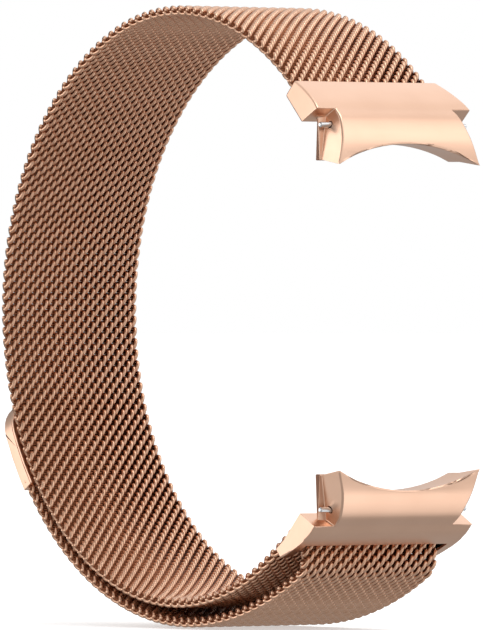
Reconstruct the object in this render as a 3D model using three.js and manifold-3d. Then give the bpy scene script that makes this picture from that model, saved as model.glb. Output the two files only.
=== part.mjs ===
// Woven metal watch strap: a magnetic loop band with two curved end connectors for a round watch case.
// Millimetres. +X runs across the band, +Z points to 12 o'clock and -Y out of the watch face.
// The origin lies midway between the two spring bars, where the middle of the watch case would be.

import * as THREE from 'three';
import { mergeVertices } from 'three/addons/utils/BufferGeometryUtils.js';
import Module from 'manifold-3d';

const wasm = await Module();
wasm.setup();

// ---------------------------------------------------------------- driving dimensions

const BAND_WIDTH = 18.9;
const BAND_THICKNESS = 1.2;
const HINGE_GAP = 0.3;

// The hollow that meets the watch case: an arc, its centre past the origin on the far side.
const HOLLOW_RADIUS = 22.9;
const HOLLOW_CENTRE = -3.7;
const BAR_HEIGHT = 21.3;

// Distance along the band, from the mouth of the upper connector, of each place where it flexes.
const MOUTH_FLEX = 1.0;
const FRONT_FLEX = 21;
const TOP_FLEX = 41;
const BACK_FLEX = 62;
const PEEL_FLEX = 158;
const TAIL_FLEX = 184;
const CLASP_FLEX = 210.5;

const CLASP_START = 211.5;
const CLASP_LENGTH = 10.9;
const CLASP_THICKNESS = 1.72;
const CLASP_CORNER = 4;

// The band's centreline, in order, from the upper connector over the back of the wrist, round the
// crossbar and back along its own outside. Turns are clockwise, seen with +Y to the right and +Z up.
const BAND_START = { y: 5.45, z: 25.28, heading: 42.3 };
const BAND_STRETCHES = [
  { straight: 1.4 },
  { radius: 32, turn: 34 },
  { radius: 28.4, turn: 32 },
  { radius: 34, turn: 116 },
  { radius: 30.4, turn: 75.5 },
  { straight: 4.22 },
  { radius: 1.54, turn: -125.2, isFold: true },
  { straight: 1.13 },
  { radius: 2.5, turn: -60 },
  { radius: 42, turn: -23 },
  { radius: 35.5, turn: -73 },
];

const CROSSBAR_RADIUS = 0.65;

const SPRING_BAR = {
  tubeRadius: 0.7,
  tubeBore: 0.55,
  tubeEnd: 7.9,
  neckBore: 0.38,
  neckLength: 0.4,
  tipRadius: 0.31,
  tipHole: 0.42,
  tipEnd: 10.45,
  pistonRadius: 0.48,
  pistonEnd: -4,
  leverX: -5.8,
  travel: 1.5,
};

// ---------------------------------------------------------------- materials

const satinRoseGold = new THREE.MeshStandardMaterial({ color: 0xe9c2a2, roughness: 0.32, metalness: 1 });
const wovenRoseGold = new THREE.MeshStandardMaterial({ color: 0xc8966f, roughness: 0.4, metalness: 1 });
const polishedSteel = new THREE.MeshStandardMaterial({ color: 0xcfd2d6, roughness: 0.2, metalness: 1 });
const magnetNickel = new THREE.MeshStandardMaterial({ color: 0x9c9da0, roughness: 0.3, metalness: 1 });

const model = new THREE.Group();

function add(name, geometry, material) {
  const mesh = new THREE.Mesh(geometry, material);
  mesh.name = name;
  model.add(mesh);
}

// ---------------------------------------------------------------- solids and outlines

function solidOf(geometry) {
  const bare = geometry.clone();
  bare.deleteAttribute('normal');
  bare.deleteAttribute('uv');
  const merged = mergeVertices(bare, 1e-5);
  return new wasm.Manifold(new wasm.Mesh({
    numProp: 3,
    vertProperties: new Float32Array(merged.attributes.position.array),
    triVerts: new Uint32Array(merged.index.array),
  }));
}

function geometryOf(solid) {
  const mesh = solid.getMesh();
  const geometry = new THREE.BufferGeometry();
  geometry.setAttribute('position', new THREE.BufferAttribute(new Float32Array(mesh.vertProperties), 3));
  geometry.setIndex(new THREE.BufferAttribute(new Uint32Array(mesh.triVerts), 1));
  geometry.computeVertexNormals();
  return geometry;
}

function extrude(outline, depth) {
  const shape = new THREE.Shape(outline.map(([a, b]) => new THREE.Vector2(a, b)));
  return new THREE.ExtrudeGeometry(shape, { depth, steps: 1, bevelEnabled: false });
}

// A prism along X whose section is a list of [y, z] points.
function prismAcross(outline, halfWidth) {
  const geometry = extrude(outline, 2 * halfWidth);
  const turn = new THREE.Matrix4().makeBasis(
    new THREE.Vector3(0, 1, 0), new THREE.Vector3(0, 0, 1), new THREE.Vector3(1, 0, 0));
  geometry.applyMatrix4(turn);
  return geometry.translate(-halfWidth, 0, 0);
}

// A prism along Y whose section is a list of [x, z] points.
function prismThrough(outline, yLow, yHigh) {
  const geometry = extrude(outline, yHigh - yLow);
  const turn = new THREE.Matrix4().makeBasis(
    new THREE.Vector3(1, 0, 0), new THREE.Vector3(0, 0, 1), new THREE.Vector3(0, -1, 0));
  geometry.applyMatrix4(turn);
  return geometry.translate(0, yHigh, 0);
}

function boxBetween(low, high) {
  const size = high.map((value, i) => value - low[i]);
  const centre = high.map((value, i) => (value + low[i]) / 2);
  return new THREE.BoxGeometry(...size).translate(...centre);
}

// A round rod along X, centred on y and z.
function rodAcross(radius, xLow, xHigh, y, z, sides = 24) {
  const geometry = new THREE.CylinderGeometry(radius, radius, xHigh - xLow, sides);
  return geometry.rotateZ(Math.PI / 2).translate((xLow + xHigh) / 2, y, z);
}

// A turned piece along X, from [x, radius] points that start and end on the axis or close on themselves.
function turnedAcross(profile, y, z, sides = 20) {
  const points = profile.map(([x, radius]) => new THREE.Vector2(radius, x));
  return new THREE.LatheGeometry(points, sides).rotateZ(-Math.PI / 2).translate(0, y, z);
}

// ---------------------------------------------------------------- the band's path

const LONGEST_EDGE = 2.5;

function lengthOf({ straight, radius, turn }) {
  return straight ?? radius * Math.abs(THREE.MathUtils.degToRad(turn));
}

// The point at a distance along the band, moved sideways to the left of travel.
function onBand(distance, left = 0) {
  let { y, z } = BAND_START;
  let heading = THREE.MathUtils.degToRad(BAND_START.heading);
  let remaining = distance;
  BAND_STRETCHES.forEach((stretch, index) => {
    const turn = THREE.MathUtils.degToRad(stretch.turn ?? 0);
    const length = lengthOf(stretch);
    const isLast = index === BAND_STRETCHES.length - 1;
    const run = isLast ? remaining : Math.min(remaining, length);
    remaining -= run;
    if (stretch.straight !== undefined) {
      y += run * Math.cos(heading);
      z += run * Math.sin(heading);
      return;
    }
    const bend = (run / length) * turn;
    const chord = 2 * stretch.radius * Math.sin(bend / 2) * Math.sign(turn);
    y += chord * Math.cos(heading - bend / 2);
    z += chord * Math.sin(heading - bend / 2);
    heading -= bend;
  });
  return [y - left * Math.sin(heading), z + left * Math.cos(heading)];
}

// The crossbar lies at the centre of the band's fold.
function crossbarCentre() {
  const foldIndex = BAND_STRETCHES.findIndex((stretch) => stretch.isFold);
  const foldStart = BAND_STRETCHES.slice(0, foldIndex).reduce((sum, stretch) => sum + lengthOf(stretch), 0);
  const [y, z] = onBand(foldStart, BAND_STRETCHES[foldIndex].radius);
  return { y, z };
}

const CROSSBAR = crossbarCentre();

// The longest straight edge that still follows the bend at a distance along the band.
function edgeLengthAt(distance) {
  let start = 0;
  for (const stretch of BAND_STRETCHES) {
    start += lengthOf(stretch);
    if (distance < start) return Math.min(LONGEST_EDGE, (stretch.radius ?? LONGEST_EDGE) / 4);
  }
  return LONGEST_EDGE;
}

// A closed [y, z] outline from [distance, left] points, with long edges bent to follow the band.
function bandOutline(points) {
  return points.flatMap(([distance, left], index) => {
    const [nextDistance, nextLeft] = points[(index + 1) % points.length];
    const span = nextDistance - distance;
    const bent = [];
    for (let gone = 0; gone < Math.abs(span) || gone === 0;) {
      const share = span === 0 ? 0 : gone / Math.abs(span);
      const at = distance + span * share;
      bent.push(onBand(at, left + (nextLeft - left) * share));
      gone += edgeLengthAt(at);
    }
    return bent;
  });
}

// A round end about a flex place: convex, or hollow to take the neighbour's round end.
function flexEnd(distance, radius, facing, hollow) {
  const half = BAND_THICKNESS / 2;
  const reach = Math.asin(half / radius);
  const count = 10;
  return Array.from({ length: count + 1 }, (_, k) => {
    const angle = hollow
      ? reach - 2 * reach * k / count
      : Math.PI / 2 - Math.PI * k / count;
    const along = facing * radius * Math.cos(angle);
    return [distance + along, facing * radius * Math.sin(angle)];
  });
}

// A stretch of band with a hollow end at the start and a round end at the finish.
function bandSegment(from, to) {
  const half = BAND_THICKNESS / 2;
  const start = from.hollow
    ? flexEnd(from.at, half + HINGE_GAP, 1, true).reverse()
    : flexEnd(from.at, half, -1, false);
  const finish = to.hollow
    ? flexEnd(to.at, half + HINGE_GAP, -1, true).reverse()
    : flexEnd(to.at, half, 1, false);
  return prismAcross(bandOutline([...start, ...finish]), BAND_WIDTH / 2);
}

const round = (at) => ({ at, hollow: false });
const hollow = (at) => ({ at, hollow: true });

function addBand() {
  add('band_front', bandSegment(round(MOUTH_FLEX), round(FRONT_FLEX)), wovenRoseGold);
  add('band_top', bandSegment(hollow(FRONT_FLEX), round(TOP_FLEX)), wovenRoseGold);
  add('band_upper_back', bandSegment(hollow(TOP_FLEX), round(BACK_FLEX)), wovenRoseGold);
  add('band_lower_back', bandSegment(hollow(BACK_FLEX), round(PEEL_FLEX)), wovenRoseGold);
  add('tail_lower', bandSegment(hollow(PEEL_FLEX), round(TAIL_FLEX)), wovenRoseGold);
  add('tail_upper', bandSegment(hollow(TAIL_FLEX), round(CLASP_FLEX)), wovenRoseGold);
}

// ---------------------------------------------------------------- the connectors

// Outlines in Y and Z, all written for the upper connector; the lower one is turned over.
const TONGUE_CURVE = [[-3.02, 16.9], [-2.65, 19.64], [-1.5, 22], [-0.25, 23.15]];
const TONGUE_ROOT = [[1.1, 23.95], [1.4, 23.6]];
const TONGUE_BACK = 1.4;
const TONGUE_FOOT = [[1.4, 17.35], [-0.47, 17.35]];
const UPPER_HOOD = [[0.77, 24.03], [2.7, 25.22], [4.91, 26.3]];
const UPPER_HOOD_INSIDE = [[5.95, 24.56], [2.02, 21.56]];
const LOWER_HOOD = [[0.83, 24.19], [2.52, 25.21], [4.38, 26.09], [6, 26.75]];
const LOWER_HOOD_INSIDE = [[6.96, 25.7], [4.52, 23.88], [2.42, 21.68]];
const STEPS_PER_SPAN = 5;

// The outer outline in two runs that meet at the notch over the lugs: the tongue's and the hood's.
function outerRuns(hoodPoints) {
  const points = [...TONGUE_CURVE, ...hoodPoints];
  const curve = new THREE.SplineCurve(points.map(([y, z]) => new THREE.Vector2(y, z)));
  const line = curve.getPoints(STEPS_PER_SPAN * (points.length - 1)).map(({ x, y }) => [x, y]);
  const notch = STEPS_PER_SPAN * (TONGUE_CURVE.length - 1);
  return { tongue: line.slice(0, notch + 1), hood: line.slice(notch) };
}

function turnedOver(solid, up) {
  return up < 0 ? solid.mirror([0, 0, 1]) : solid;
}

// Half the tongue's width on its end faces, flat and leaning in from the tip towards the hood.
function endFaceAt(y, z) {
  return 10.02 - 0.3 * (z - 17.1) + 0.08 * (y + 3);
}

// The block between the watch lugs. Behind a seam on each end face runs a strip that stands almost upright.
function lugBlock() {
  const low = 16;
  const high = 24.4;
  const geometry = new THREE.BoxGeometry(2, 2, high - low, 1, 2, 1);
  const position = geometry.attributes.position;
  for (let i = 0; i < position.count; i++) {
    const z = position.getZ(i) + (high + low) / 2;
    const column = Math.round(position.getY(i)) + 1;
    const y = [-4, 0.2 * (z - 17.65), TONGUE_BACK + 0.1][column];
    const half = column === 2 ? 9.85 - 0.039 * (z - 17.3) : endFaceAt(y, z);
    position.setXYZ(i, Math.sign(position.getX(i)) * half, y, z);
  }
  return solidOf(geometry);
}

function tongueSolid(hoodPoints, up) {
  const section = [...outerRuns(hoodPoints).tongue, ...TONGUE_ROOT, ...TONGUE_FOOT];
  return turnedOver(solidOf(prismAcross(section, 11)).intersect(lugBlock()), up);
}

// The hood over the lug ends and the end of the band. It may narrow away from the case.
function hoodSolid(hoodPoints, inside, halfAtNotch, taper, up) {
  const section = [...outerRuns(hoodPoints).hood, ...inside];
  const notch = TONGUE_CURVE[TONGUE_CURVE.length - 1][1];
  const half = (z) => halfAtNotch - taper * (z - notch);
  const plan = [[-half(20), 20], [half(20), 20], [half(28), 28], [-half(28), 28]];
  return turnedOver(solidOf(prismAcross(section, 14)).intersect(solidOf(prismThrough(plan, -4, 12))), up);
}

// The bore for the spring bar, its two tip holes and the window for the release lever.
function springBarSpace(up) {
  const z = up * BAR_HEIGHT;
  const boreEnd = SPRING_BAR.tubeEnd + 0.3;
  const bore = solidOf(rodAcross(0.85, -boreEnd, boreEnd, 0, z));
  const tipHoles = solidOf(rodAcross(SPRING_BAR.tipHole, -12, 12, 0, z));
  const windowStart = SPRING_BAR.leverX - 1;
  const windowEnd = SPRING_BAR.leverX + SPRING_BAR.travel + 1;
  const window = solidOf(boxBetween([windowStart, 0.3, z - 0.75], [windowEnd, 3.5, z + 0.75]));
  return bore.add(tipHoles).add(window);
}

function caseSpace(up) {
  const round = new THREE.CylinderGeometry(HOLLOW_RADIUS, HOLLOW_RADIUS, 20, 120);
  return solidOf(round.translate(0, 0, up * HOLLOW_CENTRE));
}

const POCKET_DEPTH = 1.8;
const MESH_PIN_AT = -0.95;

function addUpperConnector() {
  const hood = hoodSolid(UPPER_HOOD, UPPER_HOOD_INSIDE, 10.98, 0.288, 1);
  const pocket = solidOf(prismAcross(
    bandOutline([[-POCKET_DEPTH, -0.7], [1, -0.7], [1, 0.7], [-POCKET_DEPTH, 0.7]]), BAND_WIDTH / 2 + 0.15));
  const [pinY, pinZ] = onBand(MESH_PIN_AT);
  const pinHole = solidOf(rodAcross(0.3, -9.9, 9.9, pinY, pinZ, 16));
  const body = tongueSolid(UPPER_HOOD, 1).add(hood).subtract(caseSpace(1))
    .subtract(springBarSpace(1)).subtract(pocket).subtract(pinHole);
  add('upper_connector', geometryOf(body), satinRoseGold);

  const rows = solidOf(prismAcross(
    bandOutline([[-POCKET_DEPTH + 0.2, -0.6], [-0.1, -0.6], [-0.1, 0.6], [-POCKET_DEPTH + 0.2, 0.6]]),
    BAND_WIDTH / 2));
  add('band_captive_end', geometryOf(rows.subtract(pinHole)), wovenRoseGold);
  add('band_retaining_pin', rodAcross(0.22, -9.85, 9.85, pinY, pinZ, 12), polishedSteel);
}

const SLOT_HALF_WIDTH = 10.1;
const SLOT_RADIUS = 2.95;

function addLowerConnector() {
  const hood = hoodSolid(LOWER_HOOD, LOWER_HOOD_INSIDE, 11.3, 0, -1);
  const slot = solidOf(rodAcross(SLOT_RADIUS, -SLOT_HALF_WIDTH, SLOT_HALF_WIDTH, CROSSBAR.y, CROSSBAR.z, 48));
  const open = solidOf(boxBetween([-SLOT_HALF_WIDTH, CROSSBAR.y - 1.2, -29], [SLOT_HALF_WIDTH, 10, -23.1]));
  const barHole = solidOf(rodAcross(CROSSBAR_RADIUS + 0.04, -10.45, 10.45, CROSSBAR.y, CROSSBAR.z));
  const body = tongueSolid(LOWER_HOOD, -1).add(hood).subtract(caseSpace(-1))
    .subtract(springBarSpace(-1)).subtract(slot).subtract(open).subtract(barHole);
  add('lower_connector', geometryOf(body), satinRoseGold);
  add('crossbar', rodAcross(CROSSBAR_RADIUS, -10.4, 10.4, CROSSBAR.y, CROSSBAR.z), satinRoseGold);
}

// ---------------------------------------------------------------- the spring bars

// A tube with a fixed tip at one end and, at the other, a sprung tip that a small lever pulls in.
function addSpringBar(place, up) {
  const bar = SPRING_BAR;
  const z = up * BAR_HEIGHT;
  const tube = solidOf(turnedAcross([
    [-bar.tubeEnd, bar.neckBore], [-bar.tubeEnd, bar.tubeRadius],
    [bar.tubeEnd, bar.tubeRadius], [bar.tubeEnd, bar.tubeBore],
    [-bar.tubeEnd + bar.neckLength, bar.tubeBore], [-bar.tubeEnd + bar.neckLength, bar.neckBore],
    [-bar.tubeEnd, bar.neckBore],
  ], 0, z));
  const leverSlot = solidOf(boxBetween(
    [bar.leverX - 0.5, 0.2, z - 0.42], [bar.leverX + bar.travel + 0.5, 2, z + 0.42]));
  add(`${place}_spring_bar_tube`, geometryOf(tube.subtract(leverSlot)), polishedSteel);

  add(`${place}_spring_bar_sliding_tip`, turnedAcross([
    [-bar.tipEnd, 0], [-bar.tipEnd, bar.tipRadius - 0.12], [-bar.tipEnd + 0.12, bar.tipRadius],
    [-bar.tubeEnd + bar.neckLength + 0.02, bar.tipRadius],
    [-bar.tubeEnd + bar.neckLength + 0.02, bar.pistonRadius],
    [bar.pistonEnd, bar.pistonRadius], [bar.pistonEnd, 0],
  ], 0, z), polishedSteel);

  add(`${place}_spring_bar_fixed_tip`, turnedAcross([
    [bar.tubeEnd - 1.2, 0], [bar.tubeEnd - 1.2, bar.tubeBore - 0.03], [bar.tubeEnd, bar.tubeBore - 0.03],
    [bar.tubeEnd, bar.tipRadius], [bar.tipEnd - 0.12, bar.tipRadius],
    [bar.tipEnd, bar.tipRadius - 0.12], [bar.tipEnd, 0],
  ], 0, z), polishedSteel);

  const springFrom = bar.pistonEnd + 0.15;
  const springTo = bar.tubeEnd - 1.35;
  add(`${place}_spring_bar_spring`, coilAcross(springFrom, springTo, 12, 0.36, 0.08, z), polishedSteel);

  const lever = [[0, 0.52], [0.33, 0.52], [0.33, 1.85], [0.6, 1.95], [0.6, 2.3], [0.45, 2.45], [0, 2.45]]
    .map(([radius, y]) => new THREE.Vector2(radius, y));
  add(`${place}_release_lever`,
    new THREE.LatheGeometry(lever, 16).translate(bar.leverX, 0, z), polishedSteel);
}

// A compression spring along X.
function coilAcross(xLow, xHigh, turns, coilRadius, wireRadius, z) {
  const middle = xLow + wireRadius;
  const length = xHigh - xLow - 2 * wireRadius;
  const count = turns * 8;
  const points = Array.from({ length: count + 1 }, (_, k) => {
    const angle = 2 * Math.PI * turns * k / count;
    return new THREE.Vector3(
      middle + length * k / count, coilRadius * Math.cos(angle), z + coilRadius * Math.sin(angle));
  });
  const section = new THREE.Shape(Array.from({ length: 6 }, (_, k) => new THREE.Vector2(
    wireRadius * Math.cos(Math.PI * k / 3), wireRadius * Math.sin(Math.PI * k / 3))));
  return new THREE.ExtrudeGeometry(section, {
    steps: count, bevelEnabled: false, extrudePath: new THREE.CatmullRomCurve3(points),
  });
}

// ---------------------------------------------------------------- the magnetic clasp

// A block over the clasp with its free end's corners rounded, as seen from outside.
function claspPlan(end, halfWidth) {
  const steps = 8;
  const corner = Array.from({ length: steps + 1 }, (_, k) => {
    const angle = (Math.PI / 2) * (k / steps);
    return [halfWidth - CLASP_CORNER * (1 - Math.cos(angle)), CLASP_CORNER * (Math.sin(angle) - 1)];
  });
  const side = [[halfWidth + 1, -15], [halfWidth + 1, -CLASP_CORNER], ...corner];
  const outline = [...side, ...side.map(([x, z]) => [-x, z]).reverse()];
  const [endY, endZ] = onBand(end);
  const [backY, backZ] = onBand(end - CLASP_CORNER);
  const lean = THREE.MathUtils.radToDeg(Math.atan2(endZ - backZ, endY - backY)) - 90;
  return solidOf(prismThrough(outline, -4, 4)).rotate([lean, 0, 0]).translate([0, endY, endZ]);
}

// Distances along the tail; the clasp's outside is to the right of travel, so it is negative here.
function addClasp() {
  const start = CLASP_START;
  const end = CLASP_START + CLASP_LENGTH;
  const half = CLASP_THICKNESS / 2;
  const halfWidth = BAND_WIDTH / 2 + 0.1;
  const plate = 0.25;
  const joint = 0.05;
  const plan = claspPlan(end, halfWidth);

  const shell = solidOf(prismAcross(bandOutline([
    [start, -half], [start, half - plate - joint], [end - 0.25, half - plate - joint],
    [end, 0.1], [end - 0.15, -0.25], [end - 0.7, -0.62], [end - 1.6, -half],
  ]), halfWidth));
  const room = solidOf(prismAcross(bandOutline([
    [start - 1, -0.45], [start - 1, 1], [end - 2.2, 1], [end - 2.2, -0.45],
  ]), halfWidth - 0.8));
  add('clasp_cover', geometryOf(shell.intersect(plan).subtract(room)), satinRoseGold);

  const base = solidOf(prismAcross(bandOutline([
    [start, half - plate], [start, half], [end - 0.6, half], [end - 0.3, half - plate],
  ]), halfWidth));
  add('clasp_base_plate', geometryOf(base.intersect(plan)), satinRoseGold);

  add('tail_end_bar', prismAcross(bandOutline([
    [start + 0.3, -0.35], [start + 0.3, 0.35], [start + 1.8, 0.35], [start + 1.8, -0.35],
  ]), halfWidth - 0.95), polishedSteel);

  [['left', -1], ['right', 1]].forEach(([side, sign]) => {
    const magnet = prismAcross(bandOutline([
      [start + 2.4, -0.28], [start + 2.4, 0.3], [start + 7.9, 0.3], [start + 7.9, -0.28],
    ]), 3.9);
    add(`clasp_magnet_${side}`, magnet.translate(sign * 4.25, 0, 0), magnetNickel);
  });
}

// ---------------------------------------------------------------- assembly

addBand();
addUpperConnector();
addLowerConnector();
addSpringBar('upper', 1);
addSpringBar('lower', -1);
addClasp();

export default model;
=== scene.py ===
import math

import bmesh
import bpy
import numpy as np
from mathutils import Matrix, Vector


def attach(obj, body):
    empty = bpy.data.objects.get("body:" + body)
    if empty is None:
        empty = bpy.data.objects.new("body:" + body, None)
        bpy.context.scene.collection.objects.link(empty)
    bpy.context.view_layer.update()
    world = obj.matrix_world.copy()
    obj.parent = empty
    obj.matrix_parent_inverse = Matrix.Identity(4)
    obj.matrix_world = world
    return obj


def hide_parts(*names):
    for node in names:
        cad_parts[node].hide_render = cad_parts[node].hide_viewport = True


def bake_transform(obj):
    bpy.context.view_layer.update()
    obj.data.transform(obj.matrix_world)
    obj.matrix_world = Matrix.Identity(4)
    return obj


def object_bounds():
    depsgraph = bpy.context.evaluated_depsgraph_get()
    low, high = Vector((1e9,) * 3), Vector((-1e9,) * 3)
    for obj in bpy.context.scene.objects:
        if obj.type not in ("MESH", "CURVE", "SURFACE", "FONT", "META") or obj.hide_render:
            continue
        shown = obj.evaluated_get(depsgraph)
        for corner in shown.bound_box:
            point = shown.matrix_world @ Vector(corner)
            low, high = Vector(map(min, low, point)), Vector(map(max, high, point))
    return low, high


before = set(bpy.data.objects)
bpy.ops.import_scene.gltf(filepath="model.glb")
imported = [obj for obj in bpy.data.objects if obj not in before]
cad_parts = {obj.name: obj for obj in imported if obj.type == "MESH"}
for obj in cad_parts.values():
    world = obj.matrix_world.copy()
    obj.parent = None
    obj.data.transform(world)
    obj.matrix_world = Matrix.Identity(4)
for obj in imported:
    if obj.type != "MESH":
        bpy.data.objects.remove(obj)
cad_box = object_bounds()

MM = 0.001

# ---------------------------------------------------------------- the band's path, as in the CAD

BAND_START = (5.45, 25.28)
BAND_HEADING = 42.3
# Each stretch is a straight's length, or an arc's radius and its clockwise turn in degrees.
BAND_STRETCHES = [
    ("straight", 1.4),
    ("arc", 32, 34),
    ("arc", 28.4, 32),
    ("arc", 34, 116),
    ("arc", 30.4, 75.5),
    ("straight", 4.22),
    ("arc", 1.54, -125.2),
    ("straight", 1.13),
    ("arc", 2.5, -60),
    ("arc", 42, -23),
    ("arc", 35.5, -100),
]


def stretch_ends():
    """For each stretch: where it starts along the band, its first point, heading and curvature."""
    along, (y, z), heading = 0.0, BAND_START, math.radians(BAND_HEADING)
    found = []
    for kind, size, *turn in BAND_STRETCHES:
        bend = math.radians(turn[0]) if kind == "arc" else 0.0
        length = size * abs(bend) if kind == "arc" else size
        curvature = -bend / length
        found.append((along, y, z, heading, curvature))
        chord = length if kind == "straight" else 2 * size * math.sin(abs(bend) / 2)
        y += chord * math.cos(heading - bend / 2)
        z += chord * math.sin(heading - bend / 2)
        heading -= bend
        along += length
    return np.array(found)


STRETCHES = stretch_ends()


def on_band(along):
    """Points (y, z) and headings, in mm and radians, at distances along the band."""
    along = np.atleast_1d(np.asarray(along, float))
    index = np.clip(np.searchsorted(STRETCHES[:, 0], along, side="right") - 1, 0, None)
    start, y, z, heading, curvature = STRETCHES[index].T
    run = along - start
    bend = curvature * run
    chord = run * np.sinc(bend / 2 / math.pi)
    return y + chord * np.cos(heading + bend / 2), z + chord * np.sin(heading + bend / 2), heading + bend


# ---------------------------------------------------------------- the woven band

BAND_WIDTH = 18.9
TURNS = 14
TURN_PITCH = BAND_WIDTH / TURNS
ROW_PITCH = 0.65
WIRE_RADIUS = 0.225
LINK_REACH = 0.54
LINK_DEPTH = 0.385
STEPS_PER_TURN = 14
WIRE_SIDES = 7
FIRST_ROW = -1.5
TWIST = -1
CROSS_WIRE_RADIUS = 0.15
CROSS_WIRE_PITCH = ROW_PITCH / 2
CROSS_WIRE_INSET = 0.1


def rows_between(first, last, pitch):
    """The numbers of the rows that lie from first to last along the band."""
    return np.arange(math.ceil((first - FIRST_ROW) / pitch), math.ceil((last - FIRST_ROW) / pitch))


def spiral_rows(first, last):
    """The rings of every wire spiral from first to last along the band, as rows, rings, sides, 3."""
    rows = rows_between(first, last, ROW_PITCH)
    centre_y, centre_z, heading = on_band(FIRST_ROW + rows * ROW_PITCH)
    turn = np.linspace(0, 2 * math.pi * TURNS, TURNS * STEPS_PER_TURN + 1)
    angle = TWIST * turn[None, :] + np.where(rows % 2, math.pi, 0.0)[:, None]
    reach = LINK_REACH * np.cos(angle)
    depth = LINK_DEPTH * np.sin(angle)
    across = np.broadcast_to(-BAND_WIDTH / 2 + TURN_PITCH * turn / (2 * math.pi), angle.shape)
    line = np.stack([across, reach, depth], -1)
    tangent = np.gradient(line, axis=1)
    tangent /= np.linalg.norm(tangent, axis=-1, keepdims=True)
    outward = np.stack([np.zeros_like(reach), np.cos(angle), np.sin(angle)], -1)
    outward -= (outward * tangent).sum(-1, keepdims=True) * tangent
    outward /= np.linalg.norm(outward, axis=-1, keepdims=True)
    sideways = np.cross(tangent, outward)
    around = 2 * math.pi * np.arange(WIRE_SIDES) / WIRE_SIDES
    ring = (
        line[:, :, None]
        + WIRE_RADIUS * np.cos(around)[:, None] * outward[:, :, None]
        + WIRE_RADIUS * np.sin(around)[:, None] * sideways[:, :, None]
    )
    cos_h, sin_h = (f(heading)[:, None, None] for f in (np.cos, np.sin))
    y = centre_y[:, None, None] + ring[..., 1] * cos_h - ring[..., 2] * sin_h
    z = centre_z[:, None, None] + ring[..., 1] * sin_h + ring[..., 2] * cos_h
    return rows, np.stack([ring[..., 0], y, z], -1) * MM


def cross_wires(first, last):
    """The rings of the straight wires threaded through the spirals, which close the weave to light."""
    rows = rows_between(first, last, CROSS_WIRE_PITCH)
    centre_y, centre_z, heading = on_band(FIRST_ROW + rows * CROSS_WIRE_PITCH)
    around = 2 * math.pi * np.arange(WIRE_SIDES) / WIRE_SIDES
    reach = CROSS_WIRE_RADIUS * np.cos(around)[None, None, :]
    depth = CROSS_WIRE_RADIUS * np.sin(around)[None, None, :]
    cos_h, sin_h = (f(heading)[:, None, None] for f in (np.cos, np.sin))
    half = BAND_WIDTH / 2 - CROSS_WIRE_INSET
    across = np.array([-half, half])[None, :, None]
    y = centre_y[:, None, None] + reach * cos_h - depth * sin_h
    z = centre_z[:, None, None] + reach * sin_h + depth * cos_h
    return rows, np.stack(np.broadcast_arrays(across, y, z), -1) * MM


def mesh_of_tubes(name, rings, values):
    """One mesh of closed tubes. Each tube carries its own value, for small differences in colour."""
    tubes, count, sides, _ = rings.shape
    corner = np.arange(tubes * count * sides).reshape(tubes, count, sides)
    a, b = corner[:, :-1], corner[:, 1:]
    walls = np.stack([a, np.roll(a, -1, 2), np.roll(b, -1, 2), b], -1).reshape(-1, 4)
    caps = np.concatenate([corner[:, 0, ::-1], corner[:, -1]])
    mesh = bpy.data.meshes.new(name)
    mesh.vertices.add(rings.size // 3)
    mesh.vertices.foreach_set("co", rings.astype(np.float32).ravel())
    loops = np.concatenate([walls.ravel(), caps.ravel()])
    mesh.loops.add(len(loops))
    mesh.loops.foreach_set("vertex_index", loops.astype(np.int32))
    sizes = np.concatenate([np.full(len(walls), 4), np.full(len(caps), sides)])
    mesh.polygons.add(len(sizes))
    mesh.polygons.foreach_set("loop_start", np.concatenate([[0], np.cumsum(sizes)[:-1]]).astype(np.int32))
    mesh.update(calc_edges=True)
    mesh.polygons.foreach_set("use_smooth", np.ones(len(sizes), bool))
    tone = mesh.attributes.new("wire_tone", "FLOAT", "POINT")
    tone.data.foreach_set("value", np.repeat(values, count * sides).astype(np.float32))
    mesh.validate()
    return mesh


def weave(name, wires, finish, nodes=()):
    rows, rings = wires
    tones = (rows * 0.618034) % 1.0
    obj = bpy.data.objects.new(name, mesh_of_tubes(name, rings, tones))
    bpy.context.scene.collection.objects.link(obj)
    obj.data.materials.append(finish)
    if nodes:
        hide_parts(*nodes)
    return obj


# Where each piece of weave starts and ends along the band, the bodies it belongs to, the span where it
# would turn from the first to the second (not used: a piece with two bodies stays where it is), and the CAD
# strips it stands for.
WEAVE_PIECES = [
    ("band_weave_mouth", -1.5, 11, ("upper_end", "front"), (0.2, 3.0), ("band_captive_end", "band_front")),
    ("band_weave_front", 11, 31, ("front", "top"), (17, 25), ()),
    ("band_weave_top", 31, 51.5, ("top", "upper_back"), (37, 45), ("band_top",)),
    ("band_weave_upper_back", 51.5, 72, ("upper_back", "band"), (58, 66), ("band_upper_back",)),
    ("band_weave_back", 72, 113, ("band",), (), ("band_lower_back",)),
    ("band_weave_lower", 113, 154.5, ("band",), (), ()),
    ("tail_weave_start", 154.5, 171, ("band", "tail"), (156, 160), ("tail_lower",)),
    ("tail_weave_middle", 171, 197, ("tail", "tail_tip"), (180, 188), ("tail_upper",)),
    ("tail_weave_end", 197, 212.2, ("tail_tip", "clasp"), (208.8, 211.2), ()),
]


def make_band(wire, painted_shade_wire):
    for name, first, last, bodies, turning, nodes in WEAVE_PIECES:
        pieces = [
            weave(name, spiral_rows(first, last), wire, nodes),
            # The cross wires carry a very dark colour, painted shade for the gaps between the spirals.
            weave(name + "_cross_wires", cross_wires(first, last), painted_shade_wire),
        ]
        for piece in pieces:
            if len(bodies) == 1:
                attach(piece, bodies[0])
            else:
                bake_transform(piece)


# ---------------------------------------------------------------- materials


def material(name):
    made = bpy.data.materials.new(name)
    made.use_nodes = True
    made.node_tree.nodes.clear()
    nodes = made.node_tree.nodes
    shader = nodes.new("ShaderNodeBsdfPrincipled")
    output = nodes.new("ShaderNodeOutputMaterial")
    made.node_tree.links.new(shader.outputs["BSDF"], output.inputs["Surface"])
    return made, nodes, made.node_tree.links, shader


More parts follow.
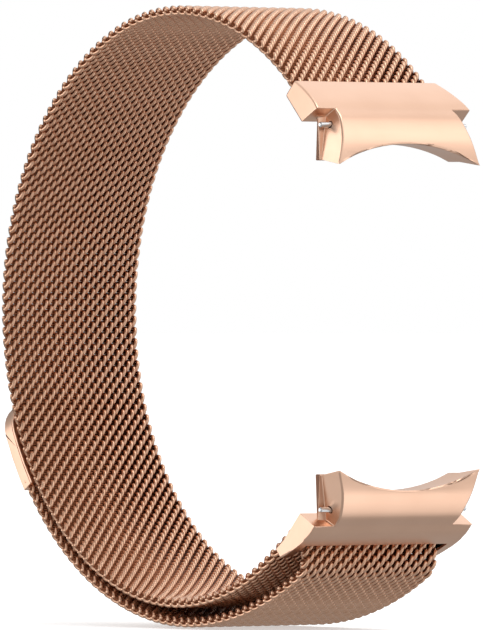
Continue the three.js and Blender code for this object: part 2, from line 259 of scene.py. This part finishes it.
def noise(nodes, links, scale, stretch=(1, 1, 1), detail=4.0):
    """Noise in the object's own space, in features per metre, stretched along the axes."""
    place = nodes.new("ShaderNodeTexCoord")
    mapping = nodes.new("ShaderNodeMapping")
    mapping.inputs["Scale"].default_value = stretch
    texture = nodes.new("ShaderNodeTexNoise")
    texture.inputs["Scale"].default_value = scale
    texture.inputs["Detail"].default_value = detail
    links.new(place.outputs["Object"], mapping.inputs["Vector"])
    links.new(mapping.outputs["Vector"], texture.inputs["Vector"])
    return texture.outputs["Fac"]


def ramp(nodes, links, value, low, high, start=0.3, end=0.7):
    """A colour ramp from low to high over the values from start to end."""
    made = nodes.new("ShaderNodeValToRGB")
    made.color_ramp.elements[0].position = start
    made.color_ramp.elements[0].color = (*low, 1)
    made.color_ramp.elements[1].position = end
    made.color_ramp.elements[1].color = (*high, 1)
    links.new(value, made.inputs["Fac"])
    return made.outputs["Color"]


def spread(nodes, links, value, low, high):
    """The value from 0 to 1 spread over low to high."""
    made = nodes.new("ShaderNodeMapRange")
    made.inputs["To Min"].default_value = low
    made.inputs["To Max"].default_value = high
    links.new(value, made.inputs["Value"])
    return made.outputs["Result"]


def bump(nodes, links, shader, value, strength, distance):
    made = nodes.new("ShaderNodeBump")
    made.inputs["Strength"].default_value = strength
    made.inputs["Distance"].default_value = distance
    links.new(value, made.inputs["Height"])
    links.new(made.outputs["Normal"], shader.inputs["Normal"])


def rose_gold_satin():
    """Plated steel, brushed across the strap and bead-finished: soft, even highlights."""
    made, nodes, links, shader = material("rose_gold_satin")
    shader.inputs["Metallic"].default_value = 1.0
    patches = noise(nodes, links, 180)
    colour = ramp(nodes, links, patches, (0.86, 0.555, 0.4), (0.9, 0.59, 0.43))
    links.new(colour, shader.inputs["Base Color"])
    brushing = noise(nodes, links, 900, stretch=(0.06, 1, 1), detail=6.0)
    links.new(spread(nodes, links, brushing, 0.26, 0.36), shader.inputs["Roughness"])
    bump(nodes, links, shader, brushing, 0.12, 0.00002)
    return made


def rose_gold_wire(name, dark, light):
    """Drawn and plated wire, each wire its own tone between the dark and the light one. For the cross wires
    the pair is very dark: painted shade for the gaps of the weave.
    """
    made, nodes, links, shader = material(name)
    shader.inputs["Metallic"].default_value = 1.0
    tone = nodes.new("ShaderNodeAttribute")
    tone.attribute_name = "wire_tone"
    links.new(
        ramp(nodes, links, tone.outputs["Fac"], dark, light, 0.0, 1.0),
        shader.inputs["Base Color"],
    )
    drawing = noise(nodes, links, 2600, detail=3.0)
    links.new(spread(nodes, links, drawing, 0.2, 0.36), shader.inputs["Roughness"])
    bump(nodes, links, shader, drawing, 0.15, 0.00001)
    return made


def polished_steel():
    made, nodes, links, shader = material("polished_steel")
    shader.inputs["Metallic"].default_value = 1.0
    patches = noise(nodes, links, 900)
    links.new(ramp(nodes, links, patches, (0.66, 0.66, 0.67), (0.8, 0.8, 0.8)), shader.inputs["Base Color"])
    turning = noise(nodes, links, 5000, stretch=(1, 0.1, 0.1))
    links.new(spread(nodes, links, turning, 0.12, 0.26), shader.inputs["Roughness"])
    bump(nodes, links, shader, turning, 0.1, 0.00001)
    return made


# ---------------------------------------------------------------- the rigid pieces


WELD_DISTANCE = 0.002
FLAT_ANGLE = math.radians(0.8)

# Edges that turn by more than this are rounded. Edges in line to this degree count as one run.
SHARP_ANGLE = math.radians(26)
IN_LINE = 0.985
ROUNDING_SEGMENTS = 3

# How many times its own width a rounding needs free beside it, as the far edge may be rounded too.
ROOM_NEEDED = 2.2

# The holes round the spring bars, and the narrow corners, take only this share of the rounding.
NARROW_SHARE = 0.12
BAR_HEIGHT = 21.3
BAR_CLEARANCE = 1.0

# Corners of the connectors too narrow to round: x to either side, y, z and the reach of each, in mm.
NARROW_CORNERS = [
    (10.1, 2.75, -25.6, 1.8),
    (11.3, 2.42, -21.68, 0.8),
    (9.65, 1.4, -22.24, 0.6),
    (3.3, 1.3, 22.2, 0.7),
    (6.8, 1.3, 22.2, 0.7),
    (10, 0.4, 17.35, 0.3),
    (10, 0.4, -17.35, 0.3),
]


def is_near(edge, x, y, z, reach):
    """Whether either end of an edge lies within reach of a place or its mirror image, in mm."""
    place = Vector((x, y, z)) * MM
    ends = [Vector((abs(vertex.co.x), vertex.co.y, vertex.co.z)) for vertex in edge.verts]
    return min((end - place).length for end in ends) < reach * MM


def room_beside(edge, width):
    """The share of a rounding of this width that the edges leaving this one have room for."""
    start, end = (vertex.co for vertex in edge.verts)
    along = (end - start).normalized()
    share = 1.0
    for vertex in edge.verts:
        for other in vertex.link_edges:
            leaving = other.other_vert(vertex).co - vertex.co
            aligned = abs(along.dot(leaving.normalized()))
            if other is not edge and aligned < IN_LINE:
                clear = leaving.length * math.sqrt(1 - aligned**2)
                share = min(share, clear / (ROOM_NEEDED * width))
    return share


def refined(node, body, finish, bevel):
    """A copy of a CAD node with its flat stretches joined, its edges rounded and its curves smooth."""
    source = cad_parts[node]
    data = source.data.copy()
    data.materials.clear()
    data.materials.append(finish)
    work = bmesh.new()
    work.from_mesh(data)
    bmesh.ops.remove_doubles(work, verts=work.verts, dist=WELD_DISTANCE * MM)
    bmesh.ops.dissolve_limit(
        work,
        angle_limit=FLAT_ANGLE,
        verts=work.verts,
        edges=work.edges,
        use_dissolve_boundaries=False,
    )
    bmesh.ops.recalc_face_normals(work, faces=work.faces)
    for face in work.faces:
        face.smooth = True
        face.material_index = 0
    weight = work.edges.layers.float.new("bevel_weight_edge")
    for edge in work.edges:
        sharp = edge.is_manifold and edge.calc_face_angle() > SHARP_ANGLE
        middle = (edge.verts[0].co + edge.verts[1].co) / 2
        from_bar = math.hypot(middle.y, abs(middle.z) - BAR_HEIGHT * MM)
        narrow = from_bar < BAR_CLEARANCE * MM or any(is_near(edge, *corner) for corner in NARROW_CORNERS)
        room = NARROW_SHARE if narrow else room_beside(edge, bevel * MM)
        edge[weight] = room if sharp else 0.0
    work.to_mesh(data)
    work.free()
    piece = bpy.data.objects.new(node + "_finished", data)
    bpy.context.scene.collection.objects.link(piece)
    rounding = piece.modifiers.new("rounding", "BEVEL")
    rounding.width = bevel * MM
    rounding.segments = ROUNDING_SEGMENTS
    rounding.limit_method = "WEIGHT"
    rounding.use_clamp_overlap = False
    shading = piece.modifiers.new("shading", "WEIGHTED_NORMAL")
    shading.mode = "FACE_AREA"
    shading.weight = 100
    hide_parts(node)
    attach(piece, body)


# Each rigid piece that can be seen: its CAD node, its body and its edge rounding in mm.
SATIN_PIECES = [
    ("upper_connector", "upper_end", 0.24),
    ("lower_connector", "lower_end", 0.24),
    ("crossbar", "lower_end", 0.05),
    ("clasp_cover", "clasp", 0.1),
    ("clasp_base_plate", "clasp", 0.06),
]
STEEL_PIECES = [
    ("upper_spring_bar_sliding_tip", "upper_release", 0.06),
    ("upper_spring_bar_fixed_tip", "upper_end", 0.04),
    ("upper_release_lever", "upper_release", 0.05),
    ("lower_spring_bar_sliding_tip", "lower_release", 0.06),
    ("lower_spring_bar_fixed_tip", "lower_end", 0.04),
    ("lower_release_lever", "lower_release", 0.05),
]


def make_rigid_pieces(satin, steel):
    for node, body, bevel in SATIN_PIECES:
        refined(node, body, satin, bevel)
    for node, body, bevel in STEEL_PIECES:
        refined(node, body, steel, bevel)
    for node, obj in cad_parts.items():
        if obj.hide_render:
            continue
        obj.data.materials.clear()
        obj.data.materials.append(steel)


# ---------------------------------------------------------------- camera, floor and light

CAMERA_AZIMUTH = 38.226
CAMERA_DISTANCE = 1216.39
CAMERA_SIDE = -18.552
CAMERA_HEIGHT = 0.253
TARGET_Y = -2.8
LENS = 626.7


def make_camera():
    angle = math.radians(CAMERA_AZIMUTH)
    forward = Vector((math.sin(angle), math.cos(angle), 0))
    right = Vector((math.cos(angle), -math.sin(angle), 0))
    place = Vector((0, TARGET_Y, CAMERA_HEIGHT)) - forward * CAMERA_DISTANCE + right * CAMERA_SIDE
    data = bpy.data.cameras.new("camera")
    data.lens = LENS
    data.sensor_width = 36
    data.clip_start = 0.01
    data.clip_end = 20
    camera = bpy.data.objects.new("camera", data)
    camera.location = place * MM
    camera.rotation_euler = forward.to_track_quat("-Z", "Y").to_euler()
    bpy.context.scene.collection.objects.link(camera)
    bpy.context.scene.camera = camera


def make_stage():
    """A wide pale floor, bright enough to run into the white surroundings without a horizon."""
    made, nodes, links, shader = material("stage")
    shader.inputs["Roughness"].default_value = 0.9
    shader.inputs["Specular IOR Level"].default_value = 0.0
    patches = noise(nodes, links, 3.0)
    links.new(ramp(nodes, links, patches, (0.9, 0.9, 0.9), (0.92, 0.92, 0.92)), shader.inputs["Base Color"])
    shader.inputs["Emission Color"].default_value = (1, 1, 1, 1)
    shader.inputs["Emission Strength"].default_value = 0.5
    lowest = cad_box[0][2]
    bpy.ops.mesh.primitive_plane_add(size=60, location=(0, 0, lowest - 0.0002))
    floor = bpy.context.object
    floor.name = "floor"
    floor.visible_glossy = False
    floor.data.materials.append(made)


def area_light(name, place, target, size, power):
    data = bpy.data.lights.new(name, "AREA")
    data.shape = "RECTANGLE"
    data.size, data.size_y = size
    data.energy = power
    light = bpy.data.objects.new(name, data)
    light.location = place
    light.rotation_euler = (Vector(target) - Vector(place)).to_track_quat("-Z", "Y").to_euler()
    bpy.context.scene.collection.objects.link(light)


# Soft panels all round, each a direction, the angles in degrees inside which it is full and outside
# which it ends, and the brightness it adds to the surroundings or takes away.
PANELS = [
    ((0.62, -0.55, 0.57), 4, 24, 0.8),
    ((0.62, -0.72, -0.1), 10, 40, 0.2),
    ((0.62, -0.55, -0.57), 5, 24, 0.9),
    ((0.6, 0.6, 0.6), 8, 30, 0.3),
    ((-0.86, 0.5, 0.12), 16, 38, 1.25),
    ((0.1, 1, 0.15), 24, 40, -0.5),
    ((-0.55, -0.1, 0.8), 16, 36, -0.55),
]
BELOW = 0.42
ABOVE = 0.85


def make_light():
    """Even surroundings, darker below, with soft panels. The eye sees plain white behind it all."""
    world = bpy.data.worlds.new("world")
    bpy.context.scene.world = world
    world.use_nodes = True
    nodes, links = world.node_tree.nodes, world.node_tree.links
    background = nodes["Background"]
    direction = nodes.new("ShaderNodeTexCoord").outputs["Generated"]

    def panel(facing, low, high, start, end):
        toward = nodes.new("ShaderNodeVectorMath")
        toward.operation = "DOT_PRODUCT"
        toward.inputs[1].default_value = Vector(facing).normalized()
        links.new(direction, toward.inputs[0])
        shade = nodes.new("ShaderNodeMapRange")
        shade.interpolation_type = "SMOOTHSTEP"
        shade.inputs["From Min"].default_value = low
        shade.inputs["From Max"].default_value = high
        shade.inputs["To Min"].default_value = start
        shade.inputs["To Max"].default_value = end
        links.new(toward.outputs["Value"], shade.inputs["Value"])
        return shade.outputs["Result"]

    total = panel((0, 0, 1), -0.5, 0.5, BELOW, ABOVE)
    for facing, inner, outer, brightness in PANELS:
        part = panel(facing, math.cos(math.radians(outer)), math.cos(math.radians(inner)), 0, brightness)
        both = nodes.new("ShaderNodeMath")
        both.operation = "ADD"
        links.new(total, both.inputs[0])
        links.new(part, both.inputs[1])
        total = both.outputs["Value"]
    links.new(total, background.inputs["Strength"])

    plain = nodes.new("ShaderNodeBackground")
    plain.inputs["Strength"].default_value = 1.0
    plain.inputs["Color"].default_value = (1, 1, 1, 1)
    background.inputs["Color"].default_value = (1, 1, 1, 1)
    seen = nodes.new("ShaderNodeLightPath").outputs["Is Camera Ray"]
    mixed = nodes.new("ShaderNodeMixShader")
    links.new(seen, mixed.inputs["Fac"])
    links.new(background.outputs["Background"], mixed.inputs[1])
    links.new(plain.outputs["Background"], mixed.inputs[2])
    links.new(mixed.outputs["Shader"], nodes["World Output"].inputs["Surface"])

    area_light("key", (0.25, -0.15, 1.2), (0, 0.03, 0), (0.6, 0.6), 3.0)


satin = rose_gold_satin()
make_band(
    rose_gold_wire("rose_gold_wire", (0.7, 0.41, 0.27), (0.79, 0.49, 0.34)),
    # The cross wires' very dark colour is painted shade for the deep gaps of the weave, not the colour of
    # the wire.
    rose_gold_wire("painted_shade_core_wire", (0.24, 0.085, 0.04), (0.3, 0.12, 0.06)),
)
make_rigid_pieces(satin, polished_steel())
make_camera()
make_stage()
make_light()
bpy.context.scene.view_settings.view_transform = "Standard"
